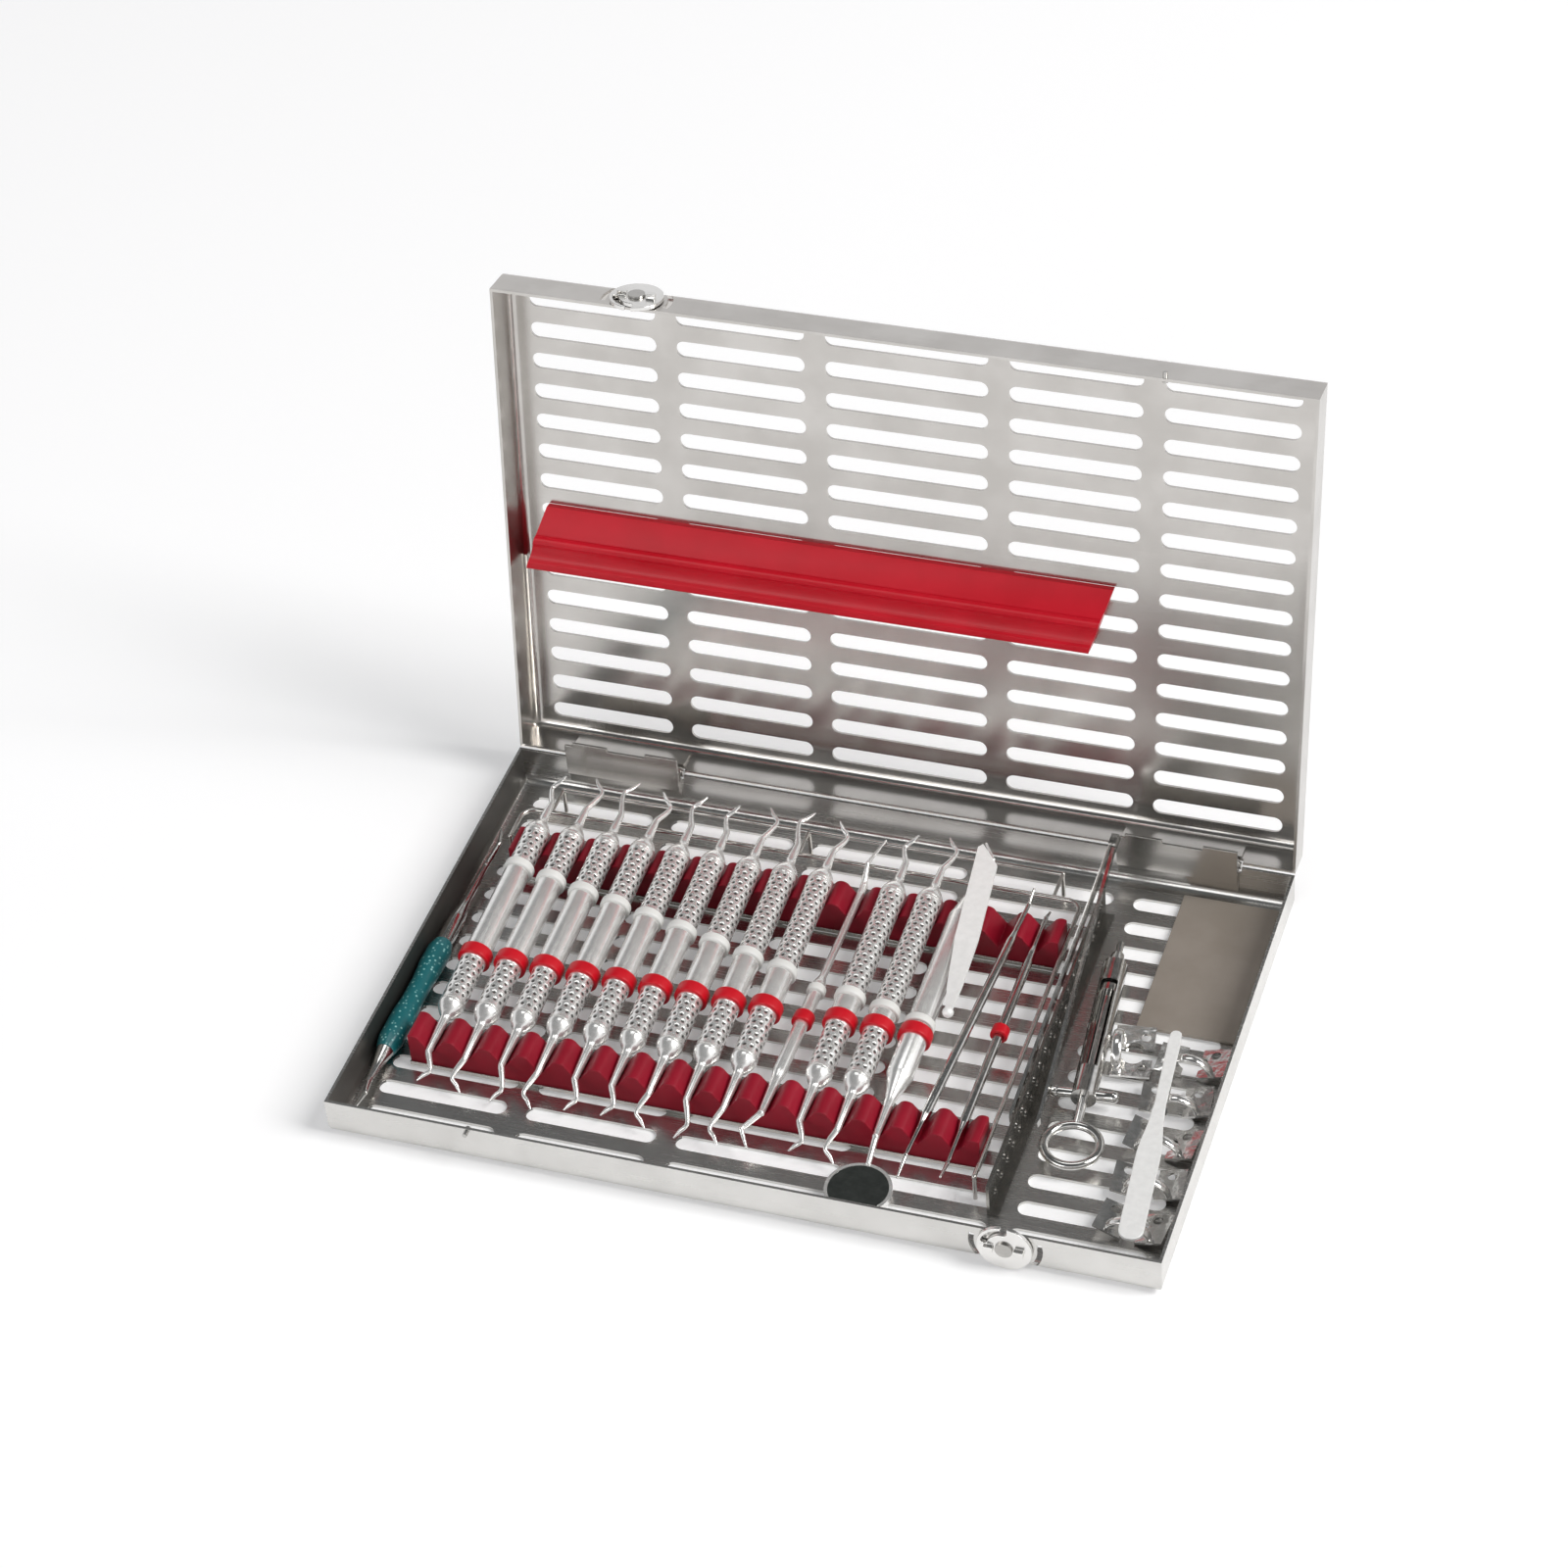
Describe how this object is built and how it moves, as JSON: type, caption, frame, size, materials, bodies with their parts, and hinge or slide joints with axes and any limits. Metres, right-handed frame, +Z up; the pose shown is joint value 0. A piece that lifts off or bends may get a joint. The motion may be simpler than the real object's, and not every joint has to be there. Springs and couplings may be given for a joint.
{
  "type": "dental instrument cassette",
  "caption": "Perforated stainless tray with a hinged lid, silicone instrument rails, a hold-down bar and round swivel latches, loaded with hand instruments.",
  "frame": {"origin": "centre of the tray's underside, on the surface it rests on", "axes": "+X along the hinge, +Y from the front wall to the hinge, +Z up; the lid is open as drawn"},
  "size_m": [0.28, 0.2255, 0.1956],
  "materials": {
    "tray_steel": "satin stainless sheet",
    "lid_steel": "satin stainless sheet",
    "plate_steel": "plain matt stainless plate",
    "divider_steel": "perforated satin stainless strip",
    "dark_red_silicone": "soft matt silicone",
    "bright_red_silicone": "soft satin silicone",
    "fitting_steel": "satin stainless",
    "rivet_steel": "turned stainless",
    "latch_steel": "satin stainless disc",
    "ring_silicone": "soft silicone rings, red and pale",
    "mirror_glass": "front surface mirror",
    "teal_resin": "moulded resin grip",
    "polished_steel": "polished stainless",
    "instrument_steel": "bright stainless"
  },
  "bodies": {
    "tray": {"tray_shell": "tray_steel", "tray_grille": "tray_steel", "id_plate": "plate_steel", "divider_wall": "divider_steel", "rail_channels": "fitting_steel", "front_rail": "dark_red_silicone", "rear_rail": "dark_red_silicone", "wire_rack": "fitting_steel", "tray_hinge_leaves": "fitting_steel", "hinge_pins": "rivet_steel", "tray_rivets": "rivet_steel"},
    "lid": {"lid_shell": "lid_steel", "lid_grille": "lid_steel", "lid_hinge_leaves": "fitting_steel", "hold_down_bar": "bright_red_silicone", "lid_rivets": "rivet_steel"},
    "tray_latch": {"tray_latch": "latch_steel"},
    "lid_latch": {"lid_latch": "latch_steel"},
    "scaler_01": {"scaler_01": "instrument_steel", "id_rings_01": "ring_silicone"},
    "scaler_02": {"scaler_02": "instrument_steel", "id_rings_02": "ring_silicone"},
    "scaler_03": {"scaler_03": "instrument_steel", "id_rings_03": "ring_silicone"},
    "scaler_04": {"scaler_04": "instrument_steel", "id_rings_04": "ring_silicone"},
    "scaler_05": {"scaler_05": "instrument_steel", "id_rings_05": "ring_silicone"},
    "scaler_06": {"scaler_06": "instrument_steel", "id_rings_06": "ring_silicone"},
    "scaler_07": {"scaler_07": "instrument_steel", "id_rings_07": "ring_silicone"},
    "scaler_08": {"scaler_08": "instrument_steel", "id_rings_08": "ring_silicone"},
    "scaler_09": {"scaler_09": "instrument_steel", "id_rings_09": "ring_silicone"},
    "slim_explorer": {"slim_explorer": "instrument_steel", "id_rings_10": "ring_silicone"},
    "scaler_11": {"scaler_11": "instrument_steel", "id_rings_11": "ring_silicone"},
    "scaler_12": {"scaler_12": "instrument_steel", "id_rings_12": "ring_silicone"},
    "mouth_mirror": {"mouth_mirror": "instrument_steel", "id_rings_13": "ring_silicone", "mirror_glass": "mirror_glass"},
    "probe_left": {"probe_left": "instrument_steel"},
    "probe_right": {"probe_right": "instrument_steel", "probe_ring": "ring_silicone"},
    "resin_scaler": {"resin_scaler": "instrument_steel", "resin_grip": "teal_resin"},
    "flat_carver": {"flat_carver": "polished_steel"},
    "tweezers": {"tweezers": "instrument_steel"},
    "cement_spatula": {"cement_spatula": "polished_steel"},
    "dam_clamps": {"dam_clamps": "instrument_steel"},
    "syringe": {"syringe_barrel": "instrument_steel"},
    "syringe_plunger": {"syringe_plunger": "instrument_steel"}
  },
  "joints": [
    {"name": "lid_hinge", "type": "hinge", "parent": "tray", "child": "lid", "pos_m": [0, 0.0902, 0.015], "axis": [1, 0, 0], "range_deg": [0, 98.7]},
    {"name": "tray_latch_turn", "type": "hinge", "parent": "tray", "child": "tray_latch", "pos_m": [0.09, -0.0907, 0.0092], "axis": [0, 1, 0], "range_deg": [0, 70]},
    {"name": "lid_latch_turn", "type": "hinge", "parent": "lid", "child": "lid_latch", "pos_m": [-0.09, 0.1233, 0.19294], "axis": [0, 0.1513, 0.9885], "range_deg": [0, 70]},
    {"name": "scaler_01_lift", "type": "slide", "parent": "tray", "child": "scaler_01", "axis": [0, 0, 1], "range_m": [0, 0.06]},
    {"name": "scaler_02_lift", "type": "slide", "parent": "tray", "child": "scaler_02", "axis": [0, 0, 1], "range_m": [0, 0.06]},
    {"name": "scaler_03_lift", "type": "slide", "parent": "tray", "child": "scaler_03", "axis": [0, 0, 1], "range_m": [0, 0.06]},
    {"name": "scaler_04_lift", "type": "slide", "parent": "tray", "child": "scaler_04", "axis": [0, 0, 1], "range_m": [0, 0.06]},
    {"name": "scaler_05_lift", "type": "slide", "parent": "tray", "child": "scaler_05", "axis": [0, 0, 1], "range_m": [0, 0.06]},
    {"name": "scaler_06_lift", "type": "slide", "parent": "tray", "child": "scaler_06", "axis": [0, 0, 1], "range_m": [0, 0.06]},
    {"name": "scaler_07_lift", "type": "slide", "parent": "tray", "child": "scaler_07", "axis": [0, 0, 1], "range_m": [0, 0.06]},
    {"name": "scaler_08_lift", "type": "slide", "parent": "tray", "child": "scaler_08", "axis": [0, 0, 1], "range_m": [0, 0.06]},
    {"name": "scaler_09_lift", "type": "slide", "parent": "tray", "child": "scaler_09", "axis": [0, 0, 1], "range_m": [0, 0.06]},
    {"name": "slim_explorer_lift", "type": "slide", "parent": "tray", "child": "slim_explorer", "axis": [0, 0, 1], "range_m": [0, 0.06]},
    {"name": "scaler_11_lift", "type": "slide", "parent": "tray", "child": "scaler_11", "axis": [0, 0, 1], "range_m": [0, 0.06]},
    {"name": "scaler_12_lift", "type": "slide", "parent": "tray", "child": "scaler_12", "axis": [0, 0, 1], "range_m": [0, 0.06]},
    {"name": "mouth_mirror_lift", "type": "slide", "parent": "tray", "child": "mouth_mirror", "axis": [0, 0, 1], "range_m": [0, 0.06]},
    {"name": "probe_left_lift", "type": "slide", "parent": "tray", "child": "probe_left", "axis": [0, 0, 1], "range_m": [0, 0.06]},
    {"name": "probe_right_lift", "type": "slide", "parent": "tray", "child": "probe_right", "axis": [0, 0, 1], "range_m": [0, 0.06]},
    {"name": "resin_scaler_lift", "type": "slide", "parent": "tray", "child": "resin_scaler", "axis": [0, 0, 1], "range_m": [0, 0.06]},
    {"name": "flat_carver_lift", "type": "slide", "parent": "mouth_mirror", "child": "flat_carver", "axis": [0, 0, 1], "range_m": [0, 0.06]},
    {"name": "tweezers_lift", "type": "slide", "parent": "tray", "child": "tweezers", "axis": [0, 0, 1], "range_m": [0, 0.06]},
    {"name": "cement_spatula_lift", "type": "slide", "parent": "dam_clamps", "child": "cement_spatula", "axis": [0, 0, 1], "range_m": [0, 0.06]},
    {"name": "dam_clamps_lift", "type": "slide", "parent": "tray", "child": "dam_clamps", "axis": [0, 0, 1], "range_m": [0, 0.06]},
    {"name": "syringe_lift", "type": "slide", "parent": "tray", "child": "syringe", "axis": [0, 0, 1], "range_m": [0, 0.06]},
    {"name": "plunger_pull", "type": "slide", "parent": "syringe", "child": "syringe_plunger", "axis": [0.0906, -0.9959, 0], "range_m": [0, 0.034]}
  ]
}
